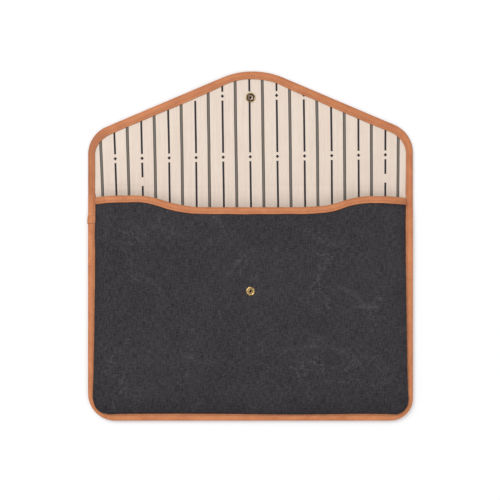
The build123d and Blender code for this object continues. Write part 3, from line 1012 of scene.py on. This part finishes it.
def edge_strip(name, points, normals):
    """Leather folded over the outline, a little uneven, and gathered on its inner edge where it turns."""
    section, past = folded_section(SEAM_W, FLAP_THICK, LEATHER, STITCH_IN)
    along = whole_stitches(points - normals * STITCH_IN)
    a, b = section.T
    wide = binding_width(points[:, 1]) / SEAM_W
    wide = wide * (1 + 0.018 * np.sin(along * 61 + 1) + 0.012 * np.sin(along * 143))
    turning = np.abs(np.gradient(np.unwrap(np.arctan2(normals[:, 1], normals[:, 0])))) > 0.004
    turning = np.convolve(turning.astype(float), np.ones(9) / 9, "same")
    inward = a[None, :] * (1 + (wide[:, None] - 1) * (a[None, :] > 0.003))
    pleat = 0.00016 * turning[:, None] * smooth((a - 0.0035) / 0.004)[None, :]
    pleat = pleat * gather(along, 0 * along)[:, None]
    lift = np.sign(b)[None, :] * (pleat + 0.00006 * np.sin(along * 210)[:, None] * (a[None, :] > 0.002))
    z = seam_middle(points[:, 1])[:, None] + b[None, :] + lift * (np.abs(b) > LEATHER)[None, :]
    plan = points[:, None, :] - normals[:, None, :] * inward[..., None]
    section = np.concatenate([plan, np.maximum(z, 0.00002)[..., None]], -1)
    return strip(name, section, along, past)


def edge_stitches(name, points, normals, side):
    """A row of stitches on the upper or lower face of the edge binding."""
    plan = points - normals * STITCH_IN
    z = seam_middle(points[:, 1]) + side * (FLAP_THICK / 2 - (0.00016 if side > 0 else 0.00030))
    line = np.concatenate([plan, z[:, None]], 1)
    return stitches(name, line, np.tile([0.0, 0.0, side], (len(line), 1)))


def edge_binding():
    for name, path, fold, nodes, thread_nodes in [
        ("pouch", pouch_path, across_pouch_fold, ["pouch_binding"], ["pouch_thread"]),
        (
            "flap",
            flap_path,
            across_flap_fold,
            ["flap_binding", "spine_binding_left", "spine_binding_right"],
            ["flap_thread", "spine_thread"],
        ),
    ]:
        points, normals = path(0.0011)
        leather = edge_strip(f"{name}_edge_leather", points, normals)
        # Painted shade on the edge leather: darker along the flap and the pouch's sides towards the spine,
        # more so at the left end.
        left = smooth((-points[:, 0] - 0.150) / 0.015)
        painted_shade = 0.22 + 0.22 * left if name == "flap" else 0.07 * left
        upper = smooth((points[:, 1] - 0.030) / 0.030)
        painted_shade = painted_shade * upper if name == "flap" else np.maximum(painted_shade, (0.22 + 0.22 * left) * upper)
        wear_of(leather, np.repeat(painted_shade, len(leather.data.vertices) // len(points)), "painted_shade")
        fold(leather)
        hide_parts(*nodes)
        length = length_along(points)[-1]
        for side, word in ((1, "upper"), (-1, "under")):
            thread = edge_stitches(f"{name}_{word}_stitches", points, normals, side)
            fold(thread)
            if side > 0:
                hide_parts(*thread_nodes)


def lap():
    """The end of the upper strip, which overlaps the lower one on the left side."""
    section, past = folded_section(SEAM_W + 0.0014, FLAP_THICK + 0.0008, 0.0008, STITCH_IN + 0.0006)
    a, b = section.T
    close = [LAP_LOW, LAP_LOW + 0.0002, LAP_LOW + 0.0006]
    stations = np.array([*close, *np.linspace(LAP_LOW + 0.0012, LAP_HIGH, 14)])
    thin = 1 - 0.55 * smooth((stations - LAP_LOW - 0.004) / (LAP_HIGH - LAP_LOW - 0.004))
    thin[:2] = (0.75, 0.93)
    points = []
    for y, share in zip(stations, thin):
        slope = 0.0006 * np.sin(a * 300)
        x = -HALF - 0.0008 * share + a * (1 - 0.10 * (1 - share))
        z = seam_middle(y) + b * (1 - 0.14 * (1 - share) / 0.55)
        points.append(np.stack([x, y + slope, z], -1))
    piece = strip("binding_lap_leather", np.array(points), stations, past)
    # Painted shade: a thin dark line at the lap's end, where it steps onto the strip below, and a little over
    # the rest of the lap.
    painted_shade = np.where(stations < LAP_LOW + 0.0005, 0.75, 0.15)
    wear_of(piece, np.repeat(painted_shade, len(section)), "painted_shade")
    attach(piece, "pouch")
    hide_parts("binding_lap")


def mouth_edge():
    """Leather folded over the mouth's edge, and its two rows of stitches."""
    base = SEAM_HIGH - LEATHER
    xs = np.linspace(-HALF + 0.0072, HALF - 0.0072, 321)
    ys = mouth_y(xs)
    line = np.stack([xs, ys], -1)
    ahead = np.gradient(line, axis=0)
    ahead /= norm(ahead, axis=1)[:, None]
    inward = np.stack([ahead[:, 1], -ahead[:, 0]], -1)
    thick, leg = STACK + 0.0021, 0.0010
    section, past = folded_section(MOUTH_W, thick, leg, MOUTH_STITCH_IN)

    def at(offset, rise, k):
        """Points of the strip: offset in from its fold, and rise above the panel's middle."""
        plan = line[k] + inward[k] * np.asarray(offset)[..., None]
        return front_point(plan[..., 0], plan[..., 1], STACK / 2 - rise, base - STACK / 2 + rise)

    everywhere = np.arange(len(line))
    stitched = np.full(len(line), MOUTH_STITCH_IN)
    along = whole_stitches(at(stitched, thick / 2, everywhere))
    loops = []
    for k in everywhere:
        wide = 1 + 0.02 * math.sin(along[k] * 83) + 0.015 * math.sin(along[k] * 197)
        loops.append(at(section[:, 0] * wide, section[:, 1], k))
    leather = strip("mouth_leather", np.array(loops), along, past)
    # A little painted shade over the whole mouth leather.
    wear_of(leather, 0.16, "painted_shade")
    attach(leather, "pouch")
    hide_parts("mouth_binding")
    for side, word in ((1, "upper"), (-1, "under")):
        rise = side * (thick / 2 - 0.00014)
        row = at(stitched, rise, everywhere)
        above = at(stitched, rise + 0.0003 * side, everywhere)
        thread = stitches(f"mouth_{word}_stitches", row, above - row)
        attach(thread, "pouch")
        if side > 0:
            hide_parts("mouth_thread")


def snap():
    """The brass fastener. The profiles are (radius, height, colour shift), in millimetres; a shift above
    nought blackens, as patina in the socket's groove and as painted shade in the holes, and one below nought
    greys.
    """
    flap_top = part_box("snap_socket")[0].z
    stud = [(1.5, 0, 0), (4.9, 0, 0.7), (4.9, 0.22, 0.65), (4.55, 0.5, 0.5), (3.9, 0.62, 0.25)]
    stud += [(3.4, 0.45, 0.1), (2.1, 0.42, 0.6), (1.95, 0.6, 0.6), (1.95, 1.05, 0.4), (2.28, 1.35, 0)]
    stud += [(2.3, 1.7, 0), (2.05, 2.05, 0), (1.75, 2.2, 0), (1.5, 2.2, 0.2)]
    depth = STACK * 1000
    # The blackening of the post's hole is painted shade.
    post = [(0, -0.4, 0), (4.1, -0.4, 0), (4.5, -0.15, 0), (4.5, 0, 0), (1.45, 0, 0)]
    post += [(1.45, depth + 1.95, 0.2), (1.4, depth + 2.15, 0), (1.25, depth + 2.1, 0.5)]
    post += [(1.15, depth + 1.8, 1), (1.15, depth + 0.6, 1), (0, depth + 0.6, 1)]
    # The blackening in the socket's groove is patina and painted shade.
    socket = [(1.5, 0, 0), (5.0, 0, 0.3), (5.0, 1.0, 0.25), (4.85, 1.5, 0.1), (4.5, 1.86, 0), (4.2, 1.9, 0)]
    socket += [(4.0, 1.7, 0.4), (3.85, 1.2, 1), (3.8, 0.6, 1), (3.25, 0.6, 1), (3.15, 1.25, 0.6)]
    socket += [(2.95, 1.42, -0.9), (2.75, 1.4, -0.9), (2.65, 1.2, -0.6), (2.65, 0.3, -0.5), (1.5, 0.25, -0.9)]
    tall = (flap_top - LEATHER) * 1000 + 0.25
    # The blackening at the bottom of the cap's hole is painted shade.
    cap = [(0, -1.0, 0), (2.5, -0.97, 0), (4.2, -0.86, 0), (5.3, -0.64, 0), (5.9, -0.36, 0), (6.0, -0.15, 0)]
    cap += [(5.9, 0, 0.3), (1.45, 0, 0), (1.45, tall, -0.8), (1.35, tall + 0.05, -0.6), (1.2, tall - 0.03, 1)]
    cap += [(1.15, tall - 0.17, 1), (0, tall - 0.17, 1)]
    lining_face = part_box("stud_post")[0].z + 0.0004
    for name, node, body, profile, y, z in [
        ("stud_brass", "snap_stud", "pouch", stud, STUD_Y, FRONT_TOP),
        ("post_brass", "stud_post", "pouch", post, STUD_Y, lining_face),
        ("socket_brass", "snap_socket", "flap", socket, SOCKET_Y, flap_top),
        ("cap_brass", "snap_cap", "flap", cap, SOCKET_Y, LEATHER),
    ]:
        piece = lathe(name, rounded(profile), y, z)
        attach(piece, body)
        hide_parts(node)


def hidden_nodes():
    """The small CAD pieces that keep their own shape."""
    for node, paint in [("stud_patch", STIFF_PAINT), ("socket_patch", STIFF_PAINT), ("snap_spring", STEEL)]:
        mesh = frame["nodes"][node].data
        mesh.materials.clear()
        mesh.materials.append(paint)


# --- the room ---


def area_light(name, place, size, power):
    """A square light that faces the middle of the sleeve."""
    data = bpy.data.lights.new(name, "AREA")
    data.energy = power
    data.size = size
    light = placed(name, data)
    light.location = place
    light.rotation_euler = (-Vector(place)).to_track_quat("-Z", "Y").to_euler()


def room():
    """A white table just under the sleeve, a white world and two lights."""
    size, floor_low = 4.0, 0.0003
    mesh = bpy.data.meshes.new("floor")
    corners = [(-size, -size), (size, -size), (size, size), (-size, size)]
    mesh.from_pydata([(x, y, -floor_low) for x, y in corners], [], [(0, 1, 2, 3)])
    mesh.materials.append(floor_material())
    placed("floor", mesh)
    world = bpy.data.worlds.new("studio")
    bpy.context.scene.world = world
    world.use_nodes = True
    background = world.node_tree.nodes["Background"]
    background.inputs["Color"].default_value = (1, 1, 1, 1)
    background.inputs["Strength"].default_value = 0.75
    area_light("key", (-0.7, 0.7, 1.9), 1.1, 28)
    area_light("fill", (0.6, -0.9, 1.9), 1.4, 11)
    bpy.context.scene.view_settings.view_transform = "Standard"


def camera():
    """A long lens straight above, with the object a little above the picture's middle."""
    data = bpy.data.cameras.new("camera")
    data.lens = 150
    data.sensor_width = 36
    across = 0.5335
    height = across * data.lens / data.sensor_width
    eye = placed("camera", data)
    eye.location = (-0.0005, -0.0043, height)
    bpy.context.scene.camera = eye


camera()
front_panel()
back_panel()
flap_plies()
edge_binding()
lap()
mouth_edge()
snap()
hidden_nodes()
room()
